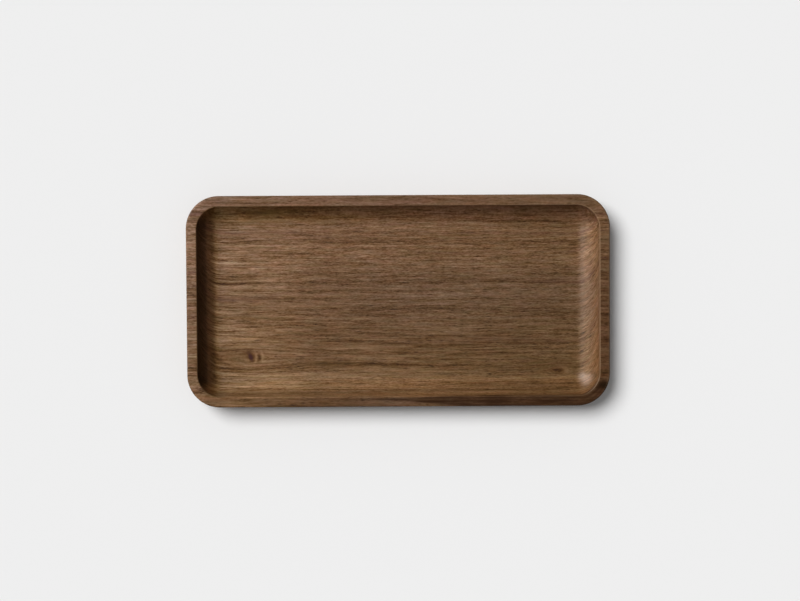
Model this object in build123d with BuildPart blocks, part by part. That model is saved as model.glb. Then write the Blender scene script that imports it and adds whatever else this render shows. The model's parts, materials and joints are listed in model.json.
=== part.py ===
from build123d import *

import math
import os

# Pen tray: a shallow desk tray milled from one walnut board, standing on four inset rubber feet.
# Millimetres, +Z up. X runs along the tray and along the wood's grain, and Y across it.
# The origin is on the desk, under the middle of the tray.

# Board
TRAY_LENGTH = 200.0  # outside, along X
TRAY_WIDTH = 100.0  # outside, along Y
BOARD_THICKNESS = 13.0  # underside to rim
CORNER_RADIUS = 15.5  # outer corners, seen from above

# Well, milled with a round-nosed cutter
RIM_WIDTH = 5.0  # top of the wall, from its outer face to the well's mouth
FLOOR_THICKNESS = 3.0  # wood left under the well
COVE_RADIUS = 10.5  # hollow curve that runs from the flat floor up to the rim
FLOOR_CORNER_RADIUS = 0.6  # corners of the flat floor, where the cutter turns

# Eased edges
RIM_OUTER_EASE = 0.8
RIM_INNER_EASE = 0.6
UNDERSIDE_EASE = 1.5

# Feet, each a rubber puck held in a milled pocket by a disc of adhesive film
FOOT_DIAMETER = 10.0
FOOT_PROUD = 1.0  # how far a foot stands out of the underside
FOOT_EDGE_EASE = 0.4
FOOT_INSET_X = 17.0  # from the tray's end to the middle of a foot
FOOT_INSET_Y = 17.0  # from the tray's side to the middle of a foot
POCKET_DEPTH = 1.2
POCKET_CLEARANCE = 0.2  # gap all round a foot in its pocket
FILM_THICKNESS = 0.15
FILM_MARGIN = 0.5  # how far the film's edge lies inside the foot's edge

# Levels above the desk
underside_level = FOOT_PROUD
rim_level = underside_level + BOARD_THICKNESS
floor_level = underside_level + FLOOR_THICKNESS
pocket_roof_level = underside_level + POCKET_DEPTH
foot_top_level = pocket_roof_level - FILM_THICKNESS

# The cove makes up the whole wall, so its radius is never less than the well's depth.
LEAST_COVE_SHARE = 1.02  # of the well's depth
CUTTER_HEADROOM = 2.0  # how far the cutting shape reaches above its cove
well_depth = rim_level - floor_level
cove_radius = max(COVE_RADIUS, LEAST_COVE_SHARE * well_depth)
cove_run = math.sqrt(2 * cove_radius * well_depth - well_depth**2)  # floor's edge to mouth, from above
floor_length = TRAY_LENGTH - 2 * (RIM_WIDTH + cove_run)
floor_width = TRAY_WIDTH - 2 * (RIM_WIDTH + cove_run)

# Where each foot stands: front is towards -Y, and left is towards -X.
foot_x = TRAY_LENGTH / 2 - FOOT_INSET_X
foot_y = TRAY_WIDTH / 2 - FOOT_INSET_Y
foot_centres = {
    "front_left": (-foot_x, -foot_y),
    "front_right": (foot_x, -foot_y),
    "rear_left": (-foot_x, foot_y),
    "rear_right": (foot_x, foot_y),
}
foot_radius = FOOT_DIAMETER / 2
pocket_radius = foot_radius + POCKET_CLEARANCE
film_radius = foot_radius - FILM_MARGIN

os.makedirs("parts", exist_ok=True)

# Well cutter: the hollow to be taken out of the board, with the cove all round its lower edge
with BuildPart() as well_cutter:
    with BuildSketch(Plane.XY.offset(floor_level)):
        RectangleRounded(
            floor_length + 2 * cove_radius,
            floor_width + 2 * cove_radius,
            FLOOR_CORNER_RADIUS + cove_radius,
        )
    extrude(amount=cove_radius + CUTTER_HEADROOM)
    cutter_nose = well_cutter.faces().sort_by(Axis.Z)[0]
    fillet(cutter_nose.edges(), radius=cove_radius)

# Tray body: the board's outline, hollowed from above, with its eased edges and foot pockets
with BuildPart() as tray_body:
    with BuildSketch(Plane.XY.offset(underside_level)):
        RectangleRounded(TRAY_LENGTH, TRAY_WIDTH, CORNER_RADIUS)
    extrude(amount=BOARD_THICKNESS)
    add(well_cutter.part, mode=Mode.SUBTRACT)

    level_faces = tray_body.faces().filter_by(Axis.Z).sort_by(Axis.Z)
    underside = level_faces[0]
    rim = level_faces[-1]
    rim_outer_edges = rim.outer_wire().edges()
    rim_inner_edges = rim.inner_wires()[0].edges()
    fillet(rim_inner_edges, radius=RIM_INNER_EASE)
    fillet(rim_outer_edges, radius=RIM_OUTER_EASE)
    fillet(underside.edges(), radius=UNDERSIDE_EASE)

    with BuildSketch(Plane.XY.offset(underside_level)):
        with Locations(*foot_centres.values()):
            Circle(pocket_radius)
    extrude(amount=POCKET_DEPTH, mode=Mode.SUBTRACT)
tray_body.part.label = "tray_body"
export_step(tray_body.part, "parts/tray_body.step")

for place, centre in foot_centres.items():
    # Foot: a puck with its lower edge eased, standing on its flat sole
    with BuildPart() as foot:
        with BuildSketch(Plane.XY):
            with Locations(centre):
                Circle(foot_radius)
        extrude(amount=foot_top_level)
        sole = foot.faces().sort_by(Axis.Z)[0]
        fillet(sole.edges(), radius=FOOT_EDGE_EASE)
    foot.part.label = f"foot_{place}"
    export_step(foot.part, f"parts/foot_{place}.step")

    # Adhesive film: a thin disc between the foot's top and the pocket's roof
    with BuildPart() as adhesive_film:
        with BuildSketch(Plane.XY.offset(foot_top_level)):
            with Locations(centre):
                Circle(film_radius)
        extrude(amount=FILM_THICKNESS)
    adhesive_film.part.label = f"adhesive_film_{place}"
    export_step(adhesive_film.part, f"parts/adhesive_film_{place}.step")
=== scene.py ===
import json
import math

import bmesh
import bpy
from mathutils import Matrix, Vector


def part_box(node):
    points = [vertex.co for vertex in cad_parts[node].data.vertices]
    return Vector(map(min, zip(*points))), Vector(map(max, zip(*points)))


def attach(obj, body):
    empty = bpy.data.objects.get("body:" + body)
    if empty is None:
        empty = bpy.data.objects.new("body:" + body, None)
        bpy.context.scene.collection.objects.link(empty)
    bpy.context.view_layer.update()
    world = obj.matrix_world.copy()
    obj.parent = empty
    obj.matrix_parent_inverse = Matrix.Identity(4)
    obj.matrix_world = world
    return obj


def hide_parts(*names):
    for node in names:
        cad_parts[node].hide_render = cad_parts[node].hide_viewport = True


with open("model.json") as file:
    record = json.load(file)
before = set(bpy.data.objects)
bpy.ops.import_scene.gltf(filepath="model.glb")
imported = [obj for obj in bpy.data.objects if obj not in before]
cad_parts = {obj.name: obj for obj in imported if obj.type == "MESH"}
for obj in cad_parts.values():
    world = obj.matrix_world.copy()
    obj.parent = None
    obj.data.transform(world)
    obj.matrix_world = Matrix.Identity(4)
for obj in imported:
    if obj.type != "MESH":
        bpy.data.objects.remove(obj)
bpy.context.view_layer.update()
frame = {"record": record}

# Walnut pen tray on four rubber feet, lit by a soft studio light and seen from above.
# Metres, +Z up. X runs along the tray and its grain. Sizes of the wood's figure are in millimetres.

MM = 0.001

# Tray sizes that the frame doesn't state
CORNER_RADIUS = 15.5 * MM
RIM_WIDTH = 5.0 * MM
COVE_RADIUS = 10.5 * MM
FLOOR_CORNER_RADIUS = 0.6 * MM
RIM_OUTER_EASE = 0.8 * MM
RIM_INNER_EASE = 0.6 * MM
UNDERSIDE_EASE = 1.5 * MM
POCKET_CLEARANCE = 0.2 * MM
POCKET_MOUTH_EASE = 0.15 * MM

# Foot sizes that the frame doesn't state
FOOT_EDGE_EASE = 0.4 * MM
FOOT_TOP_EASE = 0.15 * MM
SOLE_DISH_RADIUS = 3.6 * MM
SOLE_DISH_DEPTH = 0.12 * MM
SOLE_DISH_PROFILE = ((0.5, 1.0), (0.85, 0.8), (1.0, 0.15))  # shares of the dish's radius and depth

# Where the meshes mark eased edges, and how much each kind is rubbed; on the walnut the mark also carries
# a painted highlight
EDGE_MARK = "eased_edge"
RIM_EDGE_RUB = 0.2
UNDERSIDE_EDGE_RUB = 0.5
FOOT_EDGE_RUB = 1.0

# Places of the body's materials in its list
UNDERSIDE_INDEX = 1
POCKET_INDEX = 2

# How finely the curves are drawn
CORNER_STEPS = 24
COVE_STEPS = 24
EASE_STEPS = 6
SIDE_STEPS = 24
END_STEPS = 12
ROUND_STEPS = 64
SUPPORT = 0.25 * MM  # distance of the loops that keep flat faces flat in shading
SHARP_DEGREES = 40.0
UNROLLED_GAP = 2.0 * MM  # between the islands of the unrolled surface

# Camera, from the photograph's viewing angle
LENS_MM = 75.0
CAMERA_PLACE = (2.5 * MM, 30.4 * MM, 799.75 * MM)
CAMERA_TURN_DEGREES = (-2.194, 0.107, -0.319)

# Studio
LIGHT_LEAN_X = -0.52  # sideways lean of the light for each unit of height
LIGHT_LEAN_Y = 0.43
LIGHT_WIDTH_DEGREES = 34.0
LIGHT_STRENGTH = 3.17
FILL_STRENGTH = 0.24
GLINT_LEAN_X = -2.6  # a low side light that only shows as a soft glint
GLINT_LEAN_Y = 1.75
GLINT_WIDTH_DEGREES = 50.0
GLINT_STRENGTH = 3.0
STAGE_SIZE = 8.0
STAGE_TONE = (0.8, 0.8, 0.8)
STAGE_ROUGHNESS = 0.9

# Growth rings of the board, in millimetres
PITH_Y = -70.0
PITH_ABOVE_FLOOR = 105.0
RING_DRIFT = 0.0045  # how much each ring widens along the board, for each millimetre
RING_WIDTH = 2.3
RING_SWAY = 3.4  # slow drift of the rings along the board
RING_WAVER = 0.7  # small waves in each ring
FIBRE_LEAN = 1.1  # how far the layers of fibres step to the rear for each millimetre up
FIBRE_RIPPLE = 0.55  # small waves in the layers of fibres
WELL_MOUTH = (4.3, 5.2)  # insets from the outline between which the rim gives way to the well

# Knots in the well's floor, in millimetres
KNOT_X = -70.7
KNOT_Y = -27.0
SMALL_KNOT_X = 77.0
SMALL_KNOT_Y = -34.1

# How the rings bend round the knots: place, reach along and across the board, and push
KNOT_BENDS = (
    (KNOT_X, KNOT_Y, 9.0, 4.5, -1.4),
    (KNOT_X + 2.0, KNOT_Y, 22.0, 6.5, -2.6),
    (SMALL_KNOT_X, SMALL_KNOT_Y, 6.0, 3.0, -1.8),
)

# Lines along the well: where each crosses the floor's middle, half its thickness, how much paler or
# darker it is, and the stretch of the board that shows it, with the length of its fade
WHOLE_BOARD = (-200.0, 200.0, 7.5)
WELL_LINES = (
    (34.6, 1.5, 0.1, (-24.0, 32.0, 10.0)),
    (33.1, 0.8, 0.08, (38.0, 84.0, 8.0)),
    (32.1, 0.5, -0.1, WHOLE_BOARD),
    (28.4, 0.6, -0.16, WHOLE_BOARD),
    (27.0, 0.45, -0.15, WHOLE_BOARD),
    (25.9, 0.5, 0.12, (-200.0, 37.5, 7.5)),
    (24.6, 0.7, -0.11, WHOLE_BOARD),
    (-7.4, 0.5, -0.1, WHOLE_BOARD),
    (-30.5, 0.4, -0.3, (-40.0, 14.0, 7.0)),
    (-34.0, 1.5, 0.2, (-72.0, 20.0, 12.0)),
)
HONEY_Y = -19.9  # where the golden streak crosses the floor
REAR_SHADOW_AND_LAYER_Y = 38.2  # where the painted shadow and darker layer in the rear cove begin
HEART_END_X = 97.4  # the black end of the heartwood streak
HEART_END_Y = -40.2

# Colours in linear light: plain walnut from its darkest tone to its palest, then the others
MIDDLE_TONE = 0.56
WALNUT_TONES = (
    (0.0, (0.030, 0.0115, 0.0040)),
    (0.3, (0.080, 0.0370, 0.0125)),
    (0.5, (0.128, 0.0660, 0.0285)),
    (0.72, (0.176, 0.0970, 0.0480)),
    (1.0, (0.250, 0.1480, 0.0790)),
)
PLUM_WOOD = (0.124, 0.056, 0.036, 1)
OLIVE_WOOD = (0.105, 0.060, 0.020, 1)
GOLDEN_STREAK_COLOUR = (0.24, 0.120, 0.045, 1)
KNOT_WOOD = (0.036, 0.0125, 0.012, 1)
HEART_WOOD = (0.035, 0.0132, 0.0042, 1)
HEART_END_WOOD = (0.012, 0.006, 0.001, 1)
RUBBED_AND_LIT_WOOD = (0.26, 0.165, 0.095, 1)
RUBBER_BLACK = (0.014, 0.014, 0.015, 1)
RUBBER_BLOOM = (0.03, 0.03, 0.031, 1)
RUBBER_DUST = (0.06, 0.059, 0.057, 1)
FILM_CREAM = (0.66, 0.63, 0.55, 1)
FILM_PALE = (0.78, 0.76, 0.69, 1)

FOOT_PLACES = ("front_left", "front_right", "rear_left", "rear_right")

tray_low, tray_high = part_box("tray_body")
half_length = (tray_high.x - tray_low.x) / 2
half_width = (tray_high.y - tray_low.y) / 2
underside_level = tray_low.z
rim_level = tray_high.z
mounts = {mount["name"]: mount for mount in frame["record"]["mounts"]}
floor_level = mounts["well_floor"]["pos_m"][2]
well_depth = rim_level - floor_level
cove_run = math.sqrt(2 * COVE_RADIUS * well_depth - well_depth**2)
floor_inset = RIM_WIDTH + cove_run
rim_mm = rim_level / MM
floor_mm = floor_level / MM


# Drawing up node trees

class Wire:
    """An output socket that can be reckoned with: each sum or product lays down a math node."""

    def __init__(self, sheet, socket):
        self.sheet = sheet
        self.socket = socket

    def __add__(self, other):
        return self.sheet.math("ADD", self, other)

    __radd__ = __add__

    def __sub__(self, other):
        return self.sheet.math("SUBTRACT", self, other)

    def __rsub__(self, other):
        return self.sheet.math("SUBTRACT", other, self)

    def __mul__(self, other):
        return self.sheet.math("MULTIPLY", self, other)

    __rmul__ = __mul__

    def __truediv__(self, other):
        return self.sheet.math("DIVIDE", self, other)


class Sheet:
    """A node tree being drawn up, of a material or of a shader node group."""

    def __init__(self, tree):
        self.tree = tree

    def node(self, kind, **settings):
        made = self.tree.nodes.new(kind)
        for name, value in settings.items():
            setattr(made, name, value)
        return made

    def feed(self, socket, value):
        if isinstance(value, Wire):
            self.tree.links.new(value.socket, socket)
        else:
            socket.default_value = value

    def wire(self, node, output):
        return Wire(self, node.outputs[output])

    def math(self, operation, *values):
        made = self.node("ShaderNodeMath", operation=operation)
        for socket, value in zip(made.inputs, values):
            self.feed(socket, value)
        return self.wire(made, 0)

    def smooth(self, value, low, high):
        """0 below low, 1 above high, with a smooth rise between."""
        made = self.node("ShaderNodeMapRange", interpolation_type="SMOOTHSTEP")
        self.feed(made.inputs["Value"], value)
        made.inputs["From Min"].default_value = low
        made.inputs["From Max"].default_value = high
        return self.wire(made, "Result")

    def fall(self, value, low, high):
        """1 below low, 0 above high, with a smooth fall between."""
        return 1.0 - self.smooth(value, low, high)

    def bell(self, *offsets):
        """1 where every offset is 0, falling away as a bell curve."""
        total = offsets[0] * offsets[0]
        for offset in offsets[1:]:
            total = total + offset * offset
        return self.math("EXPONENT", total * -1.0)

    def vector(self, x, y, z):
        """Three values as one vector."""
        made = self.node("ShaderNodeCombineXYZ")
        for socket, value in zip(made.inputs, (x, y, z)):
            self.feed(socket, value)
        return self.wire(made, 0)

    def noise(self, x, y, z, detail=2.0):
        """Even noise about 0, from -0.5 to 0.5."""
        made = self.node("ShaderNodeTexNoise")
        self.feed(made.inputs["Vector"], self.vector(x, y, z))
        made.inputs["Scale"].default_value = 1.0
        made.inputs["Detail"].default_value = detail
        return self.wire(made, 0) - 0.5

    def cells(self, x, y, z):
        """Distance to the nearest of many scattered points, and a chance value of that point."""
        made = self.node("ShaderNodeTexVoronoi")
        self.feed(made.inputs["Vector"], self.vector(x, y, z))
        made.inputs["Scale"].default_value = 1.0
        chance = self.node("ShaderNodeSeparateColor")
        self.tree.links.new(made.outputs["Color"], chance.inputs[0])
        return self.wire(made, "Distance"), self.wire(chance, 0)

    def place(self):
        """The surface point in millimetres, as three wires."""
        at = self.node("ShaderNodeTexCoord")
        split = self.node("ShaderNodeSeparateXYZ")
        self.tree.links.new(at.outputs["Object"], split.inputs[0])
        return [self.wire(split, axis) / MM for axis in range(3)]

    def normal(self):
        """The surface's normal, as three wires."""
        surface = self.node("ShaderNodeNewGeometry")
        split = self.node("ShaderNodeSeparateXYZ")
        self.tree.links.new(surface.outputs["Normal"], split.inputs[0])
        return [self.wire(split, axis) for axis in range(3)]

    def mix(self, share, first, second):
        """The second colour laid over the first, by share."""
        made = self.node("ShaderNodeMix", data_type="RGBA")
        self.feed(made.inputs["Factor"], share)
        self.feed(made.inputs["A"], first)
        self.feed(made.inputs["B"], second)
        return self.wire(made, "Result")

    def ramp(self, value, stops):
        """A value turned into colours, by stops of a position and a colour."""
        made = self.node("ShaderNodeValToRGB")
        self.feed(made.inputs[0], value)
        elements = made.color_ramp.elements
        while len(elements) < len(stops):
            elements.new(0.5)
        for element, (position, colour) in zip(elements, stops):
            element.position = position
            element.color = (*colour, 1)
        return self.wire(made, 0)

    def shade(self, colour, factor):
        """A colour times a plain value."""
        made = self.node("ShaderNodeVectorMath", operation="SCALE")
        self.feed(made.inputs["Vector"], colour)
        self.feed(made.inputs["Scale"], factor)
        return self.wire(made, 0)

    def tint(self, colour, channels):
        """A colour with each of its channels times that of another."""
        made = self.node("ShaderNodeVectorMath", operation="MULTIPLY")
        self.feed(made.inputs[0], colour)
        self.feed(made.inputs[1], channels)
        return self.wire(made, 0)

    def use(self, tree, **values):
        """Place a node group, with spaces for underscores in its input names."""
        made = self.node("ShaderNodeGroup", node_tree=tree)
        for name, value in values.items():
            self.feed(made.inputs[name.replace("_", " ")], value)
        return made


def new_group(name, inputs, outputs):
    """An empty shader node group with value inputs and named outputs."""
    tree = bpy.data.node_groups.new(name, "ShaderNodeTree")
    for socket_name, value in inputs.items():
        socket = tree.interface.new_socket(socket_name, in_out="INPUT", socket_type="NodeSocketFloat")
        socket.default_value = value
    for socket_name, kind in outputs.items():
        tree.interface.new_socket(socket_name, in_out="OUTPUT", socket_type=kind)
    sheet = Sheet(tree)
    entry = sheet.node("NodeGroupInput")
    exit_node = sheet.node("NodeGroupOutput")
    given = {socket_name: sheet.wire(entry, socket_name) for socket_name in inputs}
    return sheet, given, exit_node


# Walnut's figure

def bend_round_knot(sheet, x, y, knot_x, knot_y, reach_x, reach_y, push):
    """How far a knot pushes the rings aside, in millimetres."""
    across = (y - knot_y) / reach_y
    along = (x - knot_x) / reach_x
    return sheet.bell(along, across) * across * push


def growth_line(sheet, ring, floor_y, half_thickness):
    """A line that follows the rings, placed by where it crosses the middle of the well's floor."""
    near = math.hypot(floor_y - PITH_Y, PITH_ABOVE_FLOOR)
    ring_for_each_mm = (floor_y - PITH_Y) / near
    return sheet.bell((ring - near) / (half_thickness * ring_for_each_mm))


def stretch(sheet, place, start, end, fade):
    """1 between two places along the board or across it, fading out beyond them."""
    begins = sheet.smooth(place, start - fade, start + fade)
    return begins * sheet.fall(place, end - fade, end + fade)


def edge_inset(sheet, x, y):
    """How far inside the tray's outline a point lies, in millimetres."""
    straight_x = (half_length - CORNER_RADIUS) / MM
    straight_y = (half_width - CORNER_RADIUS) / MM
    over_x = sheet.math("MAXIMUM", sheet.math("ABSOLUTE", x) - straight_x, 0.0)
    over_y = sheet.math("MAXIMUM", sheet.math("ABSOLUTE", y) - straight_y, 0.0)
    return CORNER_RADIUS / MM - sheet.math("SQRT", over_x * over_x + over_y * over_y)


class Grain:
    """Where a point lies among the board's growth rings and layers of fibres, in millimetres."""

    def __init__(self, sheet):
        x, y, z = sheet.place()
        self.x, self.y, self.z = x, y, z
        pushed = 0.0
        for bend in KNOT_BENDS:
            pushed = pushed + bend_round_knot(sheet, x, y, *bend)

        # Rings about a pith in front of the tray and above it, without their slow sway and with it
        from_pith_y = y - PITH_Y
        from_pith_z = z - (floor_mm + PITH_ABOVE_FLOOR)
        from_pith = sheet.math("SQRT", from_pith_y * from_pith_y + from_pith_z * from_pith_z)
        sway = sheet.noise(x / 150.0, y / 60.0, z / 60.0, detail=1.0) * RING_SWAY
        self.waver = sheet.noise(x / 26.0, y / 6.0, z / 6.0) * RING_WAVER
        self.near_ring = from_pith + x * RING_DRIFT + self.waver + pushed
        self.ring = self.near_ring + sway

        # Layers of fibres, which lean with the rings and ripple a little
        ripple = sheet.noise(x / 18.0, y / 4.0, z / 4.0, detail=1.0) * FIBRE_RIPPLE
        lean = FIBRE_LEAN - sheet.smooth(y, 22.0, 38.0) * 0.65
        self.layer = y - z * lean + ripple + pushed
        self.fibres = sheet.noise(x / 11.0, self.layer / 0.68, z / 3.0)


def ring_tone(sheet, grain):
    """Bands and streaks that follow the rings, and the late wood at the end of each year."""
    x = grain.x
    ring = grain.ring
    bands = sheet.noise(x / 320.0, ring / 2.6, 0.3, detail=1.0)
    streaks = sheet.noise(x / 70.0, ring / 0.7, grain.z / 12.0)
    uneven = sheet.noise(ring / 4.5, 0.7, 0.2) * 3.2
    year = sheet.math("FRACT", (ring + uneven) / RING_WIDTH)
    late_wood = sheet.smooth(year, 0.45, 0.92) * sheet.fall(year, 0.94, 1.0)
    year_strength = sheet.noise(x / 120.0, ring / 3.7, 4.1, detail=1.0) + 0.5
    return bands * 0.34 + streaks * 0.52 - late_wood * year_strength * 0.18


def fibre_tone(sheet, grain):
    """Fibres of four lengths, with more long ones in the front and the left of the floor."""
    x = grain.x
    z = grain.z
    layer = grain.layer
    long_fibres = sheet.noise(x / 34.0, layer / 0.95, z / 4.0)
    short_fibres = sheet.noise(x / 4.5, layer / 0.5, z / 2.2)
    flecks = sheet.noise(x / 1.3, layer / 0.34, z / 1.5, detail=1.0)
    front_floor = stretch(sheet, grain.y, -35.0, -12.0, 5.0) * sheet.fall(x, 40.0, 75.0)
    left_end = stretch(sheet, x, -90.0, -60.0, 8.0)
    longer = sheet.math("MAXIMUM", front_floor, left_end) * 0.8
    tone = long_fibres * (0.45 + longer * 0.35)
    tone = tone + grain.fibres * (0.62 + longer * 0.2)
    tone = tone + short_fibres * (0.75 - longer * 0.3)
    return tone + flecks * (0.75 - longer * 0.35)


def pore_dashes(sheet, grain):
    """Pores cut along the grain: short dashes, crowded in some years and few in others."""
    x = grain.x
    z = grain.z
    crowding = sheet.noise(x / 60.0, grain.ring / 1.6, 6.0, detail=1.0)
    crowding = sheet.smooth(crowding, -0.14, 0.12) * 0.7 + 0.3
    far, chance = sheet.cells(x / 5.5, grain.layer / 0.56, z / 2.2)
    pores = sheet.fall(far, 0.1, 0.34) * sheet.smooth(chance, 0.2, 0.55)
    fine_far, fine_chance = sheet.cells(x / 2.8 + 7.0, grain.layer / 0.5, z / 1.8)
    fine_pores = sheet.fall(fine_far, 0.12, 0.38) * sheet.smooth(fine_chance, 0.35, 0.7)
    return sheet.math("MAXIMUM", pores, fine_pores * 0.6) * crowding


def well_lines(sheet, grain):
    """The dark and pale lines that run along the well."""
    total = 0.0
    for floor_y, half_thickness, tone, span in WELL_LINES:
        line = growth_line(sheet, grain.near_ring, floor_y, half_thickness)
        total = total + line * stretch(sheet, grain.x, *span) * tone
    return total


def honey_streak(sheet, grain):
    """A short golden streak at the left of the floor."""
    line = growth_line(sheet, grain.near_ring, HONEY_Y, 0.7)
    return line * stretch(sheet, grain.x, -80.0, -69.0, 3.0)


def rear_cove_shadow_and_layer(sheet, grain):
    """A darker layer in the rear cove, cut at a slant, with thin lines in it and in front of it: partly
    painted shadow of the rear rim and partly darker wood.
    """
    x = grain.x
    left = sheet.math("MINIMUM", x, 0.0)
    right = sheet.math("MAXIMUM", x, 0.0)
    past = grain.y - REAR_SHADOW_AND_LAYER_Y + x * 0.01 + right * 0.004 - left * left * 0.0001
    past = past + grain.waver * 0.6

    paler_above = sheet.smooth(past, 2.0, 5.0) * sheet.smooth(x, -60.0, -10.0) * 0.7
    share = 0.17 + stretch(sheet, x, -78.0, -42.0, 10.0) * 0.07 - sheet.smooth(x, 10.0, 40.0) * 0.08
    dark = sheet.smooth(past, -0.3, 0.5) * (1.0 - paler_above) * share

    right_lines = sheet.bell((past + 0.1) / 0.75) * 0.27
    right_lines = right_lines - sheet.bell((past + 1.75) / 0.5) * 0.2
    right_lines = right_lines + sheet.bell((past + 2.75) / 0.35) * 0.24
    dark = dark + right_lines * stretch(sheet, x, 38.0, 84.0, 8.0)

    thin_lines = sheet.bell((past - 1.4) / 0.3) * sheet.fall(x, 20.0, 40.0)
    thin_lines = thin_lines + sheet.bell((past - 3.1) / 0.3) + sheet.bell((past - 4.9) / 0.4)
    dark = dark + thin_lines * sheet.smooth(x, -30.0, 20.0) * 0.13

    pale = sheet.bell((past + 0.9) / 0.5) * (sheet.smooth(x, -60.0, -30.0) * 0.05 + 0.02)
    on_rear_cove = sheet.smooth(grain.y, 33.0, 35.0) * sheet.fall(grain.z, 11.5, 13.0)
    return (pale - dark) * on_rear_cove


def floor_knot(sheet, grain):
    """The knot in the floor: a slanting eye, and pale and dark arcs to its right."""
    off_x = grain.x - KNOT_X
    off_y = grain.y - KNOT_Y
    eye = sheet.bell(off_x + off_y * 0.3, off_y / 1.9)
    bowed_x = off_x + off_y * off_y * 0.09
    arcs = sheet.bell((bowed_x - 2.7) / 0.6, off_y / 2.4) * 0.36
    arcs = arcs - sheet.bell((bowed_x - 4.2) / 0.7, off_y / 1.7) * 0.4
    arcs = arcs + sheet.bell((bowed_x - 5.8) / 0.8, off_y / 2.8) * 0.34
    return eye, arcs


def small_knot(sheet, grain):
    """The small knot by the front cove: a dark eye with a tail to the left, and a pale arc."""
    off_x = grain.x - SMALL_KNOT_X
    off_y = grain.y - SMALL_KNOT_Y
    right = sheet.math("MAXIMUM", off_x, 0.0)
    left = sheet.math("MAXIMUM", off_x * -1.0, 0.0)
    eye = sheet.bell(right / 1.8 + left / 6.5, (off_y - left * 0.12) / 1.7)
    pale_arc = sheet.bell((off_x - 3.4) / 1.1, off_y / 2.4)
    return pale_arc * 0.16 - eye * 0.29


def knot_quiet(sheet, grain):
    """How far fibres and pores fade out round the knots."""
    by_knot = sheet.bell((grain.x - KNOT_X + 7.0) / 12.0, (grain.y - KNOT_Y) / 5.0)
    by_small_knot = sheet.bell((grain.x - SMALL_KNOT_X) / 14.0, (grain.y - SMALL_KNOT_Y) / 4.0)
    return by_knot * 0.5 + by_small_knot * 0.35


def heart_streak(sheet, grain):
    """A dark heartwood streak in the front rim, which widens to the right, and its black end."""
    x = grain.x
    inset = edge_inset(sheet, x, grain.y)
    widening = sheet.smooth(x, -12.0, 50.0)
    off_streak = sheet.math("ABSOLUTE", inset - (3.6 - widening * 1.4)) - (0.3 + widening * 3.2)
    streak = sheet.fall(off_streak, -0.6, 0.6) * sheet.smooth(x, -24.0, -4.0)
    streak = streak * sheet.smooth(grain.z, rim_mm - 2.2, rim_mm - 0.8)
    streak = streak * sheet.fall(grain.y, -40.0, -36.0)
    uneven = sheet.noise(x / 13.0, inset, 3.0) * 1.5 + 0.8
    end = sheet.bell((x - HEART_END_X) / 2.7, (grain.y - HEART_END_Y) / 1.7)
    end = end * sheet.smooth(grain.z, rim_mm - 1.0, rim_mm - 0.4)
    return streak * uneven, end


def make_walnut_figure():
    """Walnut's growth rings, pores and fibres in the solid, so that they run through every face."""
    sheet, given, exit_node = new_group(
        "walnut_figure",
        {"Ring Contrast": 1.0, "Pore Contrast": 1.0, "Fibre Contrast": 1.0},
        {"Color": "NodeSocketColor", "Pores": "NodeSocketFloat", "Height": "NodeSocketFloat"},
    )
    grain = Grain(sheet)
    pores = pore_dashes(sheet, grain)
    honey = honey_streak(sheet, grain)
    knot_eye, knot_arcs = floor_knot(sheet, grain)
    heart, heart_end = heart_streak(sheet, grain)

    fine = fibre_tone(sheet, grain) * given["Fibre Contrast"] - pores * 0.33 * given["Pore Contrast"]
    tone = MIDDLE_TONE + ring_tone(sheet, grain) * given["Ring Contrast"]
    tone = tone + fine * (1.0 - knot_quiet(sheet, grain))
    tone = tone + well_lines(sheet, grain) + rear_cove_shadow_and_layer(sheet, grain) + honey * 0.16
    tone = tone - knot_eye * 0.5 + knot_arcs + small_knot(sheet, grain)
    colour = sheet.ramp(tone, WALNUT_TONES)

    # Drifts of hue from ring to ring and from fibre to fibre
    plum = sheet.smooth(sheet.noise(grain.x / 130.0, grain.ring / 2.2, 9.0, detail=1.0), 0.02, 0.3)
    plum = plum * (sheet.smooth(grain.y, -28.0, -6.0) * 0.28 + 0.12)
    olive = sheet.smooth(sheet.noise(grain.x / 45.0, grain.ring / 1.1, 17.0), 0.02, 0.28)
    colour = sheet.mix(plum, colour, PLUM_WOOD)
    colour = sheet.mix(olive * 0.4, colour, OLIVE_WOOD)
    colour = sheet.mix(honey * 0.35, colour, GOLDEN_STREAK_COLOUR)
    redness = sheet.noise(grain.x / 9.0, grain.layer / 1.5, grain.z / 4.0 + 5.0, detail=1.0) * 0.3
    greyness = sheet.noise(grain.x / 8.0, grain.layer / 1.7, grain.z / 4.0 + 9.0, detail=1.0) * 0.35
    red = sheet.math("EXPONENT", redness)
    blue = sheet.math("EXPONENT", greyness)
    colour = sheet.tint(colour, sheet.vector(red, 1.0, blue))

    colour = sheet.mix(knot_eye * 0.9, colour, KNOT_WOOD)
    colour = sheet.mix(heart, colour, HEART_WOOD)
    colour = sheet.mix(heart_end * 0.8, colour, HEART_END_WOOD)
    sheet.feed(exit_node.inputs["Color"], colour)
    sheet.feed(exit_node.inputs["Pores"], pores)
    sheet.feed(exit_node.inputs["Height"], grain.fibres * 0.3 - pores)
    return sheet.tree


# Effects that several materials share

def make_surface_mottle():
    """Uneven patches over a surface, sized in millimetres: a mask and a factor about 1."""
    sheet, given, exit_node = new_group(
        "surface_mottle",
        {"Patch Size": 5.0, "Contrast": 0.2},
        {"Mask": "NodeSocketFloat", "Factor": "NodeSocketFloat"},
    )
    x, y, z = sheet.place()
    size = given["Patch Size"]
    patches = sheet.noise(x / size, y / size, z / size, detail=3.0)
    sheet.feed(exit_node.inputs["Mask"], patches + 0.5)
    sheet.feed(exit_node.inputs["Factor"], 1.0 + patches * given["Contrast"] * 2.0)
    return sheet.tree


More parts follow.
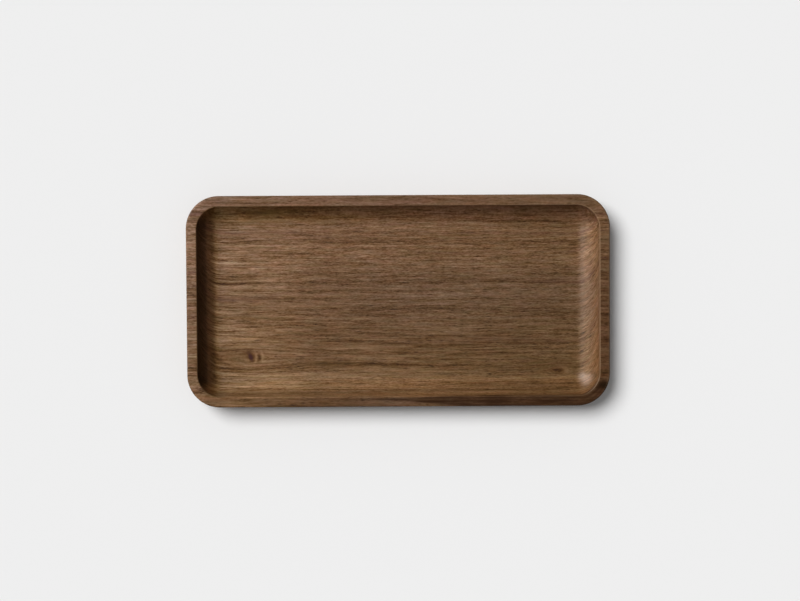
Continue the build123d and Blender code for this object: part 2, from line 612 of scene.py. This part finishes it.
def make_edge_wear_and_highlight_group():
    """Rubbed edges, and on the walnut a painted highlight too: where the mesh marks an eased edge, broken
    up along its length.
    """
    sheet, given, exit_node = new_group(
        "edge_wear",
        {"Amount": 0.5, "Break Up": 6.0},
        {"Mask": "NodeSocketFloat"},
    )
    mark = sheet.node("ShaderNodeAttribute", attribute_name=EDGE_MARK)
    x, y, z = sheet.place()
    size = given["Break Up"]
    broken = sheet.noise(x / size, y / size, z / size) + 0.75
    sheet.feed(exit_node.inputs["Mask"], sheet.wire(mark, "Fac") * broken * given["Amount"])
    return sheet.tree


walnut_figure = make_walnut_figure()
surface_mottle = make_surface_mottle()
edge_wear = make_edge_wear_and_highlight_group()


# Materials

def new_material(name):
    """A new material, its node tree and its shader."""
    material = bpy.data.materials.new(name)
    material.use_nodes = True
    sheet = Sheet(material.node_tree)
    shader = material.node_tree.nodes["Principled BSDF"]
    return material, sheet, shader


def add_bump(sheet, shader, height, strength, distance):
    """Fine relief on a material's surface."""
    bump = sheet.node("ShaderNodeBump")
    bump.inputs["Strength"].default_value = strength
    bump.inputs["Distance"].default_value = distance
    sheet.feed(bump.inputs["Height"], height)
    sheet.tree.links.new(bump.outputs["Normal"], shader.inputs["Normal"])


# Drifts of tone and hue on the oiled faces, fitted to the photograph under this scene's light; many are
# painted light and shade

class Surface:
    """Where a point of the tray's oiled faces lies, in millimetres, and which way it faces."""

    def __init__(self, sheet):
        self.x, self.y, self.z = sheet.place()
        self.to_left = self.x * -1.0
        self.to_front = self.y * -1.0
        normal = sheet.normal()
        self.faces_right = normal[0]
        self.faces_left = normal[0] * -1.0
        self.faces_rear = normal[1]
        self.faces_front = normal[1] * -1.0
        self.end_lean = sheet.math("ABSOLUTE", normal[0])
        self.side_lean = sheet.math("ABSOLUTE", normal[1])
        self.inset = edge_inset(sheet, self.x, self.y)
        self.in_well = sheet.smooth(self.inset, *WELL_MOUTH)
        self.off_well = 1.0 - self.in_well


def right_cove_painted_light(sheet, at):
    """Painted light on the right cove, which faces the light: paler, less so near the rear and in its
    corners.
    """
    near_rear = sheet.smooth(at.y, 20.0, 38.0)
    tone = sheet.smooth(at.faces_left, -0.06, 0.48) * (0.6 - near_rear * 0.32)
    tone = tone + sheet.smooth(at.faces_left, 0.35, 0.65) * near_rear * 0.3
    corners = sheet.smooth(at.side_lean, 0.1, 0.6) * sheet.smooth(at.faces_left, 0.15, 0.6)
    return tone + corners * (sheet.smooth(at.faces_rear, 0.0, 0.2) * 0.2 - 0.3)


def left_cove_painted_shade(sheet, at):
    """Painted shade on the left cove, which faces away from the light: darker, most of all near the rim,
    and less so in its corners.
    """
    low = sheet.smooth(at.faces_right, 0.17, 0.42) * 0.72
    high = sheet.smooth(at.faces_right, 0.58, 0.72) * 0.48
    corners = sheet.smooth(at.side_lean, 0.3, 0.7) * 0.65
    return (low + high) * (corners - 1.0)


def front_cove_painted_light_and_shade(sheet, at):
    """Painted light and shade on the front cove, which faces the light: darker at its left end and high
    on its right, with a dark line near its top.
    """
    x = at.x
    right = sheet.smooth(x, 10.0, 45.0)
    paler = sheet.smooth(x, -90.0, -55.0) * 0.35 + sheet.smooth(x, -40.0, 0.0) * 0.05 - 0.15
    tone = sheet.smooth(at.faces_rear, 0.02, 0.35) * paler
    tone = tone - sheet.smooth(at.faces_rear, 0.3, 0.6) * sheet.smooth(x, 5.0, 48.0) * 0.2
    tone = tone - sheet.bell((at.faces_rear - 0.8 + x * 0.0014) / 0.1) * (0.3 - right * 0.22)
    tone = tone + sheet.smooth(at.faces_rear, 0.84, 0.93) * 0.17
    tone = tone + sheet.smooth(at.faces_rear, 0.78, 0.86) * right * 0.12
    return tone + sheet.smooth(at.faces_rear, 0.35, 0.8) * sheet.fall(x, -88.0, -65.0) * 0.3


def rear_cove_painted_light(sheet, at):
    """Painted light on the rear cove, which faces away from the light: paler, most of all just under the
    rim.
    """
    low = sheet.smooth(at.faces_front, 0.1, 0.65) * 0.33
    high = sheet.smooth(at.faces_front, 0.84, 0.95) * 0.18
    return low + high


def cove_painted_light_and_shade(sheet, at):
    """How much paler or darker the coves are, by which way each faces: mostly painted light and shade."""
    ends = right_cove_painted_light(sheet, at) + left_cove_painted_shade(sheet, at)
    sides = front_cove_painted_light_and_shade(sheet, at) + rear_cove_painted_light(sheet, at)
    return sheet.math("EXPONENT", (ends + sides) * at.in_well)


def rim_shade(sheet, at):
    """How the tone changes round the rim, partly the wood's own and partly painted falloff of the light
    from the left, with painted shade on the right outer edge.
    """
    x = at.x
    y = at.y
    on_rim = sheet.smooth(at.z, rim_mm - 1.6, rim_mm - 0.3)
    at_front = sheet.smooth(at.to_front, 40.0, 45.0)

    # Paler at the left end and darker at the right: partly painted falloff of the light from the left.
    left_end = sheet.smooth(at.to_left, 90.0, 97.0) * 0.27
    right_end = sheet.smooth(x, 90.0, 97.0) * (sheet.smooth(y, -25.0, 45.0) * 0.3 - 0.23)
    rear_corner = sheet.smooth(x, 90.0, 96.0) * sheet.smooth(y, 33.0, 38.0) * 0.18
    # Painted shade on the right outer ease, which faces away from the light.
    right_edge_shade = sheet.fall(at.inset, 0.1, 0.9) * sheet.smooth(x, 88.0, 97.0) * 0.3
    ends = left_end + right_end + rear_corner - right_edge_shade

    along_front = sheet.smooth(x, 40.0, 70.0) * 0.1 + sheet.smooth(x, 78.0, 88.0) * 0.12
    along_front = along_front - stretch(sheet, x, -70.0, -4.0, 20.0) * 0.2
    front_inner = stretch(sheet, y, -45.8, -44.0, 0.5) * (0.28 - sheet.smooth(x, -35.0, 0.0) * 0.12)
    rear = sheet.smooth(y, 40.0, 45.0) * (0.13 - stretch(sheet, x, -30.0, 18.0, 10.0) * 0.09)
    sides = at_front * along_front + front_inner + rear
    return 1.0 + on_rim * (ends + sides - 0.05 + y * 0.0014)


def board_shade(sheet, at):
    """How the board's tone drifts: paler to the left and the rear, with painted light and shade in the
    well's corners.
    """
    x = at.x
    y = at.y
    # Paler to the left: painted falloff of the light from the left.
    along = sheet.math("EXPONENT", x * -0.0021)
    left = sheet.smooth(at.to_left, 35.0, 65.0) * sheet.fall(at.to_left, 79.0, 91.0)
    left = left * (0.32 - sheet.smooth(y, 14.0, 30.0) * 0.18 - sheet.bell(y / 8.0) * 0.13)
    # Painted shadow to the right of the knot.
    left = left - sheet.bell((x + 45.0) / 15.0, (y + 28.0) / 7.0) * 0.08
    rear = sheet.smooth(y, 6.0, 26.0) * sheet.fall(y, 33.0, 42.0) * 0.22
    # Darker to the front of the floor, partly painted shadow.
    front = sheet.smooth(at.to_front, 12.0, 30.0) * (sheet.smooth(x, 0.0, 60.0) * -0.08 - 0.03)

    # Painted shade in the well's left corners.
    left_corner_shade = sheet.smooth(at.to_front, 24.0, 37.0) * 0.24 + sheet.smooth(y, 28.0, 40.0) * 0.12
    left_corner_shade = left_corner_shade * sheet.smooth(at.to_left, 79.0, 89.0)
    # Painted light where the left cove's shade ends in the front left corner.
    by_left_cove_light = sheet.bell((x + 84.5) / 4.0, (y + 30.0) / 3.0) * 0.25

    # Painted light near the front right corner, bounced from the cove and spread from its highlight, less
    # a painted shade high in the cove under the rim.
    front_corner_light_and_shade = sheet.bell((x - 80.0) / 9.0, (y + 36.0) / 5.0) * 0.14
    front_corner_light_and_shade = front_corner_light_and_shade + sheet.bell((x - 90.0) / 4.0, (y + 31.5) / 4.5) * 0.12
    under_rim_shade = sheet.bell((at.inset - 6.4) / 1.1) * sheet.smooth(x, 86.0, 91.0)
    front_corner_light_and_shade = front_corner_light_and_shade - under_rim_shade * stretch(sheet, y, -39.5, -34.5, 1.5) * 0.3
    # Painted shade in the well's rear right corner.
    rear_corner = sheet.bell((x - 91.5) / 2.5, (y - 38.0) / 3.0) * 0.22
    # Painted light on the floor at the foot of the right cove.
    by_right_cove_light = sheet.smooth(x, 75.0, 84.0) * sheet.fall(x, 86.0, 88.5)
    by_right_cove_light = by_right_cove_light * stretch(sheet, y, -24.0, 24.0, 5.0) * 0.09

    well = front - left_corner_shade + by_left_cove_light + front_corner_light_and_shade - rear_corner + by_right_cove_light
    return along * (1.0 + left + rear + well * at.in_well)


def board_tint(sheet, at):
    """How the board's hue drifts.

    It is greyer to the rear left and in the right cove, more yellow to the front and in the left cove.
    The drift across the board is a painted cast of cool light from the rear left, the right cove's
    greyness is a painted sheen, and the left cove's warmer hue is part of its painted shade.
    """
    x = at.x
    y = at.y
    middle = sheet.bell(y / 18.0) * sheet.smooth(x, -55.0, 10.0) * at.in_well
    front_rim = sheet.smooth(at.to_front, 40.0, 45.0) * at.off_well
    front_left_rim = front_rim * sheet.fall(x, -40.0, 5.0)
    front_right_rim = front_rim * sheet.smooth(x, -35.0, 5.0)
    left_cove = sheet.smooth(at.faces_right, 0.1, 0.6) * at.in_well
    side_coves = sheet.smooth(at.side_lean, 0.15, 0.5) * sheet.smooth(x, -50.0, 20.0) * at.in_well
    right_end = sheet.smooth(x, 90.0, 97.0) * sheet.fall(y, -20.0, 30.0)

    # Bluer in the right cove as painted sheen, and warmer in the left cove as part of its painted shade.
    well = sheet.smooth(at.faces_left, 0.0, 0.4) * 0.08 - sheet.smooth(at.faces_right, 0.0, 0.45) * 0.37
    well = well - sheet.smooth(at.to_front, 15.0, 32.0) * 0.03 - 0.07
    well = well - sheet.smooth(at.faces_front, 0.1, 0.5) * (0.22 - sheet.smooth(x, -60.0, 40.0) * 0.3)
    # A painted cast of cool light from the rear left across the board.
    drift = y * 0.0017 - x * 0.0011 + 0.13 + middle * 0.17
    drift = drift - front_left_rim * 0.16 + front_right_rim * 0.1
    blue = sheet.math("EXPONENT", drift + well * at.in_well)
    red = 1.0 - sheet.smooth(at.to_left, 30.0, 80.0) * 0.05
    red = red + right_end * 0.13 + left_cove * 0.14 + side_coves * 0.05
    green = 1.015 - left_cove * 0.1 + middle * 0.04 - front_left_rim * 0.06
    return sheet.vector(red, green, blue)


def figure_calm(sheet, at):
    """How far the figure fades on the coves and on the rim's long sides."""
    coves = sheet.smooth(at.faces_right, 0.2, 0.6) * 0.65 + sheet.smooth(at.faces_front, 0.1, 0.4) * 0.3
    coves = coves + sheet.smooth(at.faces_left, 0.05, 0.3) * 0.12
    front_right = sheet.smooth(at.x, 10.0, 40.0) * sheet.smooth(at.to_front, 0.0, 20.0)
    side_rims = sheet.smooth(sheet.math("ABSOLUTE", at.y), 43.0, 45.5) * (1.0 - front_right)
    return coves * at.in_well + side_rims * at.off_well * 0.35


# The five materials

def make_oiled_walnut():
    """The tray's sanded and oiled faces."""
    material, sheet, shader = new_material("oiled_walnut")
    at = Surface(sheet)
    front = sheet.smooth(at.to_front, 0.0, 20.0)
    rear = sheet.smooth(at.y, 0.0, 20.0)
    left = sheet.smooth(at.to_left, 55.0, 75.0)
    right_rim = sheet.smooth(at.x, 91.0, 96.0)
    calm = figure_calm(sheet, at)
    end_grain = sheet.smooth(at.end_lean, 0.35, 0.85) * at.off_well
    figure = sheet.use(
        walnut_figure,
        Ring_Contrast=1.0 - rear * 0.55 + left * 0.25 + right_rim * 0.4 - calm,
        Pore_Contrast=1.1 + front * 0.65 + left * 0.2 - end_grain * 0.7,
        Fibre_Contrast=1.0 + front * 0.08 + rear * 0.2 + left * 0.3 - calm - end_grain * 0.6,
    )
    oil = sheet.use(surface_mottle, Patch_Size=14.0, Contrast=0.06)
    edge_wear_and_highlight_mask = sheet.use(edge_wear, Amount=0.9, Break_Up=7.0)

    # The board, cove and rim factors paint light and shade into the colour.
    factor = board_shade(sheet, at) * cove_painted_light_and_shade(sheet, at) * rim_shade(sheet, at)
    factor = factor * sheet.wire(oil, "Factor") * 0.94
    colour = sheet.shade(sheet.wire(figure, "Color"), factor)
    colour = sheet.tint(colour, board_tint(sheet, at))
    # Paler eased edges: wear, and a painted highlight that grows toward the right end, where the inner
    # ease faces the light.
    rubbed_and_lit = sheet.wire(edge_wear_and_highlight_mask, "Mask") * (sheet.smooth(at.x, 20.0, 95.0) * 0.6 + 0.3)
    rubbed_and_lit = rubbed_and_lit * (1.0 - sheet.smooth(at.to_front, 36.0, 44.0) * 0.7)
    colour = sheet.mix(rubbed_and_lit, colour, RUBBED_AND_LIT_WOOD)
    far = sheet.cells(at.x / 6.0, at.y / 0.5, at.z / 0.5)[0]
    cut_pores = sheet.fall(far, 0.16, 0.34) * end_grain
    colour = sheet.shade(colour, 1.0 - cut_pores * 0.45)
    sheet.feed(shader.inputs["Base Color"], colour)
    sheet.feed(shader.inputs["Roughness"], 0.32 + sheet.wire(figure, "Pores") * 0.2)
    shader.inputs["Specular IOR Level"].default_value = 0.07

    # A coat on the right cove alone, for the photograph's highlight in its front corner
    coat = sheet.smooth(at.faces_left, 0.05, 0.45) * sheet.smooth(at.inset, 5.8, 7.5)
    coat = coat * (sheet.smooth(at.faces_rear, 0.05, 0.25) * 0.25 + 0.38)
    sheet.feed(shader.inputs["Coat Weight"], coat)
    shader.inputs["Coat Roughness"].default_value = 0.4
    add_bump(sheet, shader, sheet.wire(figure, "Height"), 0.35, 0.12 * MM)
    return material


def make_underside_walnut():
    """The underside: the same board, sanded less and with only a thin coat of oil."""
    material, sheet, shader = new_material("underside_walnut")
    figure = sheet.use(walnut_figure, Ring_Contrast=0.9, Pore_Contrast=0.8, Fibre_Contrast=0.9)
    oil = sheet.use(surface_mottle, Patch_Size=20.0, Contrast=0.1)
    colour = sheet.shade(sheet.wire(figure, "Color"), sheet.wire(oil, "Factor") * 1.1)
    sheet.feed(shader.inputs["Base Color"], colour)
    sheet.feed(shader.inputs["Roughness"], 0.62 + sheet.wire(figure, "Pores") * 0.15)
    add_bump(sheet, shader, sheet.wire(figure, "Height"), 0.4, 0.15 * MM)
    return material


def make_pocket_walnut():
    """The milled foot pockets: bare, paler wood without oil."""
    material, sheet, shader = new_material("pocket_walnut")
    figure = sheet.use(walnut_figure, Ring_Contrast=0.8, Pore_Contrast=0.9, Fibre_Contrast=1.0)
    dust = sheet.use(surface_mottle, Patch_Size=3.0, Contrast=0.15)
    colour = sheet.shade(sheet.wire(figure, "Color"), sheet.wire(dust, "Factor") * 1.35)
    sheet.feed(shader.inputs["Base Color"], colour)
    shader.inputs["Roughness"].default_value = 0.8
    add_bump(sheet, shader, sheet.wire(figure, "Height"), 0.5, 0.2 * MM)
    return material


def make_foot_rubber():
    """Soft black rubber with a fine moulded grain, dusty on its lower edge."""
    material, sheet, shader = new_material("foot_rubber_black")
    bloom = sheet.use(surface_mottle, Patch_Size=1.4, Contrast=0.3)
    grain = sheet.use(surface_mottle, Patch_Size=0.16, Contrast=0.5)
    edge_wear_and_highlight_mask = sheet.use(edge_wear, Amount=0.6, Break_Up=1.2)
    colour = sheet.mix(sheet.wire(bloom, "Mask") * 0.3, RUBBER_BLACK, RUBBER_BLOOM)
    colour = sheet.mix(sheet.wire(edge_wear_and_highlight_mask, "Mask") * 0.5, colour, RUBBER_DUST)
    sheet.feed(shader.inputs["Base Color"], colour)
    sheet.feed(shader.inputs["Roughness"], 0.68 + sheet.wire(bloom, "Mask") * 0.18)
    add_bump(sheet, shader, sheet.wire(grain, "Mask"), 0.3, 0.06 * MM)
    return material


def make_adhesive_film():
    """Cream double-sided film with a faint paper mottle."""
    material, sheet, shader = new_material("adhesive_film_cream")
    pulp = sheet.use(surface_mottle, Patch_Size=0.7, Contrast=0.2)
    colour = sheet.mix(sheet.wire(pulp, "Mask"), FILM_CREAM, FILM_PALE)
    sheet.feed(shader.inputs["Base Color"], colour)
    sheet.feed(shader.inputs["Roughness"], 0.5 + sheet.wire(pulp, "Mask") * 0.25)
    add_bump(sheet, shader, sheet.wire(pulp, "Mask"), 0.2, 0.03 * MM)
    return material


# Tray body

def arc(centre, radius, start_degrees, end_degrees, steps):
    """Points along an arc, from one angle to another."""
    points = []
    for step in range(steps + 1):
        angle = math.radians(start_degrees + (end_degrees - start_degrees) * step / steps)
        points.append((centre[0] + radius * math.cos(angle), centre[1] + radius * math.sin(angle)))
    return points


def well_section():
    """From the well's floor up the cove and over the inner ease: (inset, level, edge mark)."""
    cove_centre = (floor_inset, floor_level + COVE_RADIUS)
    ease_level = rim_level - RIM_INNER_EASE
    drop = cove_centre[1] - ease_level
    reach = COVE_RADIUS + RIM_INNER_EASE
    ease_centre = (floor_inset - math.sqrt(reach**2 - drop**2), ease_level)
    meeting_degrees = math.degrees(math.asin(drop / reach))
    cove = arc(cove_centre, COVE_RADIUS, 270, 180 + meeting_degrees, COVE_STEPS)
    ease = arc(ease_centre, RIM_INNER_EASE, meeting_degrees, 90, EASE_STEPS)
    section = [(floor_inset + SUPPORT, floor_level, 0)]
    section += [(inset, level, 0) for inset, level in cove]
    # The inner ease is marked most in its middle; on the walnut the mark gives wear and a painted
    # highlight.
    for step, (inset, level) in enumerate(ease[1:], start=1):
        section.append((inset, level, math.sin(math.pi * step / EASE_STEPS)))
    section.append((ease[-1][0] - SUPPORT, rim_level, 0))
    return section


def outer_section():
    """From the rim over the outer ease and down the wall to the underside: (inset, level, edge mark)."""
    upper_centre = (RIM_OUTER_EASE, rim_level - RIM_OUTER_EASE)
    lower_centre = (UNDERSIDE_EASE, underside_level + UNDERSIDE_EASE)
    upper = arc(upper_centre, RIM_OUTER_EASE, 90, 180, EASE_STEPS)
    lower = arc(lower_centre, UNDERSIDE_EASE, 180, 270, EASE_STEPS)
    section = [(upper[0][0] + SUPPORT, rim_level, 0)]
    section += [(inset, level, RIM_EDGE_RUB) for inset, level in upper]
    section.append((0.0, upper[-1][1] - SUPPORT, 0))
    section.append((0.0, lower[0][1] + SUPPORT, 0))
    section += [(inset, level, UNDERSIDE_EDGE_RUB) for inset, level in lower]
    section.append((lower[-1][0] + SUPPORT, underside_level, 0))
    return section


def rounded_ring(half_x, half_y, radius):
    """Points of a rounded rectangle, anticlockwise, as many whatever its size."""
    starts = ((1, 1, 0), (-1, 1, 90), (-1, -1, 180), (1, -1, 270))
    corners = []
    for sign_x, sign_y, start in starts:
        centre = (sign_x * (half_x - radius), sign_y * (half_y - radius))
        corners.append(arc(centre, radius, start, start + 90, CORNER_STEPS))
    points = []
    for index, corner in enumerate(corners):
        points += corner
        last = corner[-1]
        after = corners[(index + 1) % 4][0]
        steps = SIDE_STEPS if index % 2 == 0 else END_STEPS
        for step in range(1, steps):
            share = step / steps
            x = last[0] + (after[0] - last[0]) * share
            y = last[1] + (after[1] - last[1]) * share
            points.append((x, y))
    return points


def circle_points(radius):
    """Points of a circle about the origin, anticlockwise."""
    turns = [2 * math.pi * step / ROUND_STEPS for step in range(ROUND_STEPS)]
    return [(radius * math.cos(turn), radius * math.sin(turn)) for turn in turns]


def bridge(mesh, ring_a, ring_b):
    """Quads between two rings of as many vertices each."""
    count = len(ring_a)
    faces = []
    for i in range(count):
        j = (i + 1) % count
        faces.append(mesh.faces.new((ring_a[i], ring_a[j], ring_b[j], ring_b[i])))
    return faces


def ring_edges(mesh, ring):
    """The edges round a ring of vertices."""
    return [mesh.edges.get((ring[i], ring[(i + 1) % len(ring)])) for i in range(len(ring))]


def finish_mesh(mesh, name, materials):
    """Turn a bmesh into a smooth-shaded piece with sharp edges kept."""
    bmesh.ops.recalc_face_normals(mesh, faces=mesh.faces)
    data = bpy.data.meshes.new(name)
    mesh.to_mesh(data)
    mesh.free()
    for polygon in data.polygons:
        polygon.use_smooth = True
    data.set_sharp_from_angle(angle=math.radians(SHARP_DEGREES))
    for material in materials:
        data.materials.append(material)
    piece = bpy.data.objects.new(name, data)
    bpy.context.scene.collection.objects.link(piece)
    return piece


class Unrolled:
    """The tray's surface laid flat for baking.

    The well, the rim and the outer wall are unrolled, and the underside lies beside them.
    """

    def __init__(self, mesh, run):
        self.layer = mesh.loops.layers.uv.new("OFBake")
        self.upper_half_x = half_length - floor_inset + run
        self.upper_half_y = half_width - floor_inset + run
        self.side = 2 * (self.upper_half_y + half_width) + 3 * UNROLLED_GAP
        self.upper = {}
        self.under = {}

    def note_upper(self, vertex, point):
        self.upper[vertex] = (
            (point[0] + self.upper_half_x + UNROLLED_GAP) / self.side,
            (point[1] + self.upper_half_y + UNROLLED_GAP) / self.side,
        )

    def note_under(self, vertex, point):
        above = 2 * self.upper_half_y + 2 * UNROLLED_GAP
        self.under[vertex] = (
            (half_length - point[0] + UNROLLED_GAP) / self.side,
            (half_width + point[1] + above) / self.side,
        )

    def lay(self, faces, places):
        for face in faces:
            for loop in face.loops:
                loop[self.layer].uv = places[loop.vert]


def tray_body(materials):
    """The tray as one closed mesh, with the foot pockets in its underside."""
    mesh = bmesh.new()
    mark = mesh.verts.layers.float.new(EDGE_MARK)
    section = []
    for inset, level, edge in well_section():
        section.append((inset, level, edge, FLOOR_CORNER_RADIUS + floor_inset - inset))
    for inset, level, edge in outer_section():
        section.append((inset, level, edge, CORNER_RADIUS - inset))
    runs = [0.0]
    for here, there in zip(section, section[1:]):
        runs.append(runs[-1] + math.dist(here[:2], there[:2]))
    unrolled = Unrolled(mesh, runs[-1])

    rings = []
    for (inset, level, edge, radius), run in zip(section, runs):
        points = rounded_ring(half_length - inset, half_width - inset, max(radius, SUPPORT))
        ring = [mesh.verts.new((x, y, level)) for x, y in points]
        flat = rounded_ring(
            half_length - floor_inset - SUPPORT + run,
            half_width - floor_inset - SUPPORT + run,
            max(FLOOR_CORNER_RADIUS - SUPPORT + run, SUPPORT),
        )
        for vertex, point in zip(ring, flat):
            vertex[mark] = edge
            unrolled.note_upper(vertex, point)
        rings.append(ring)
    upper_faces = [mesh.faces.new(rings[0])]
    for ring_a, ring_b in zip(rings, rings[1:]):
        upper_faces += bridge(mesh, ring_b, ring_a)
    unrolled.lay(upper_faces, unrolled.upper)

    underside_edges = ring_edges(mesh, rings[-1])
    for vertex in rings[-1]:
        unrolled.note_under(vertex, vertex.co)
    pocket_faces = []
    for place in FOOT_PLACES:
        faces, mouth = foot_pocket(mesh, unrolled, place)
        pocket_faces += faces
        underside_edges += ring_edges(mesh, mouth)
    filled = bmesh.ops.triangle_fill(mesh, use_beauty=True, edges=underside_edges, normal=(0, 0, -1))
    under_faces = [item for item in filled["geom"] if isinstance(item, bmesh.types.BMFace)]
    unrolled.lay(under_faces + pocket_faces, unrolled.under)
    for face in under_faces:
        face.material_index = UNDERSIDE_INDEX
    for face in pocket_faces:
        face.material_index = POCKET_INDEX
    return finish_mesh(mesh, "tray_walnut_body", materials)


def foot_pocket(mesh, unrolled, place):
    """One pocket's wall and roof, and the ring of its mouth."""
    foot_low, foot_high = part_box(f"foot_{place}")
    roof_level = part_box(f"adhesive_film_{place}")[1].z
    middle = (foot_low + foot_high) / 2
    radius = (foot_high.x - foot_low.x) / 2 + POCKET_CLEARANCE
    depth = roof_level - underside_level
    levels = (
        (radius + POCKET_MOUTH_EASE, underside_level, radius + POCKET_MOUTH_EASE),
        (radius, underside_level + POCKET_MOUTH_EASE, radius),
        (radius, roof_level, radius - depth),
    )
    rings = []
    for ring_radius, level, laid_radius in levels:
        ring = []
        for point, laid in zip(circle_points(ring_radius), circle_points(laid_radius)):
            vertex = mesh.verts.new((middle.x + point[0], middle.y + point[1], level))
            unrolled.note_under(vertex, (middle.x + laid[0], middle.y + laid[1]))
            ring.append(vertex)
        rings.append(ring)
    faces = bridge(mesh, rings[0], rings[1]) + bridge(mesh, rings[1], rings[2])
    faces.append(mesh.faces.new(rings[2]))
    return faces, rings[0]


# Feet

def foot_section(height, radius):
    """A foot's half-profile, from its sole's dish to its top: (radius, level, edge mark)."""
    lower = arc((radius - FOOT_EDGE_EASE, FOOT_EDGE_EASE), FOOT_EDGE_EASE, 270, 360, EASE_STEPS)
    upper = arc((radius - FOOT_TOP_EASE, height - FOOT_TOP_EASE), FOOT_TOP_EASE, 0, 90, EASE_STEPS)
    section = [(SOLE_DISH_RADIUS * out, SOLE_DISH_DEPTH * up, 0) for out, up in SOLE_DISH_PROFILE]
    section.append((SOLE_DISH_RADIUS + SUPPORT, 0.0, 0))
    section += [(out, level, FOOT_EDGE_RUB) for out, level in lower]
    section += [(out, level, 0) for out, level in upper]
    return section


def foot(place, material):
    """One rubber foot: a turned puck with a dished sole."""
    low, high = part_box(f"foot_{place}")
    middle = (low + high) / 2
    mesh = bmesh.new()
    mark = mesh.verts.layers.float.new(EDGE_MARK)
    rings = []
    for ring_radius, level, edge in foot_section(high.z - low.z, (high.x - low.x) / 2):
        ring = []
        for x, y in circle_points(ring_radius):
            vertex = mesh.verts.new((middle.x + x, middle.y + y, low.z + level))
            vertex[mark] = edge
            ring.append(vertex)
        rings.append(ring)
    mesh.faces.new(rings[0])
    for ring_a, ring_b in zip(rings, rings[1:]):
        bridge(mesh, ring_a, ring_b)
    mesh.faces.new(rings[-1])
    return finish_mesh(mesh, f"rubber_foot_{place}", [material])


body = tray_body([make_oiled_walnut(), make_underside_walnut(), make_pocket_walnut()])
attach(body, "root")
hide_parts("tray_body")

foot_rubber = make_foot_rubber()
film_cream = make_adhesive_film()
for place in FOOT_PLACES:
    puck = foot(place, foot_rubber)
    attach(puck, "root")
    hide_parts(f"foot_{place}")
    film = bpy.data.objects[f"adhesive_film_{place}"]
    film.data.materials.clear()
    film.data.materials.append(film_cream)


# Stage, light and camera

def stage_floor():
    """A wide pale floor for the tray to stand on."""
    half = STAGE_SIZE / 2
    corners = [(-half, -half, 0), (half, -half, 0), (half, half, 0), (-half, half, 0)]
    data = bpy.data.meshes.new("studio_floor")
    data.from_pydata(corners, [], [(0, 1, 2, 3)])
    material, _, shader = new_material("pale_floor")
    shader.inputs["Base Color"].default_value = (*STAGE_TONE, 1)
    shader.inputs["Roughness"].default_value = STAGE_ROUGHNESS
    shader.inputs["Specular IOR Level"].default_value = 0.0
    data.materials.append(material)
    floor = bpy.data.objects.new("studio_floor", data)
    bpy.context.scene.collection.objects.link(floor)
    return floor


def distant_light(name, lean_x, lean_y, strength, width_degrees):
    """A far-off light that leans sideways by so much for each unit of height."""
    lamp = bpy.data.lights.new(name, "SUN")
    lamp.energy = strength
    lamp.angle = math.radians(width_degrees)
    light = bpy.data.objects.new(name, lamp)
    light.rotation_mode = "QUATERNION"
    light.rotation_quaternion = Vector((-lean_x, -lean_y, -1)).to_track_quat("-Z", "Y")
    bpy.context.scene.collection.objects.link(light)
    return light


def fill_light():
    """An even light from all round."""
    world = bpy.data.worlds.new("studio")
    world.use_nodes = True
    background = world.node_tree.nodes["Background"]
    background.inputs["Color"].default_value = (1, 1, 1, 1)
    background.inputs["Strength"].default_value = FILL_STRENGTH
    bpy.context.scene.world = world


def photo_camera():
    """The camera that sees the tray from the photograph's place."""
    lens = bpy.data.cameras.new("photo_camera")
    lens.lens = LENS_MM
    camera = bpy.data.objects.new("photo_camera", lens)
    camera.location = CAMERA_PLACE
    camera.rotation_euler = [math.radians(angle) for angle in CAMERA_TURN_DEGREES]
    bpy.context.scene.collection.objects.link(camera)
    bpy.context.scene.camera = camera


stage_floor()
distant_light("soft_light", LIGHT_LEAN_X, LIGHT_LEAN_Y, LIGHT_STRENGTH, LIGHT_WIDTH_DEGREES)
glint = distant_light("glint_light", GLINT_LEAN_X, GLINT_LEAN_Y, GLINT_STRENGTH, GLINT_WIDTH_DEGREES)
glint.visible_diffuse = False
fill_light()
photo_camera()
bpy.context.scene.view_settings.view_transform = "Standard"
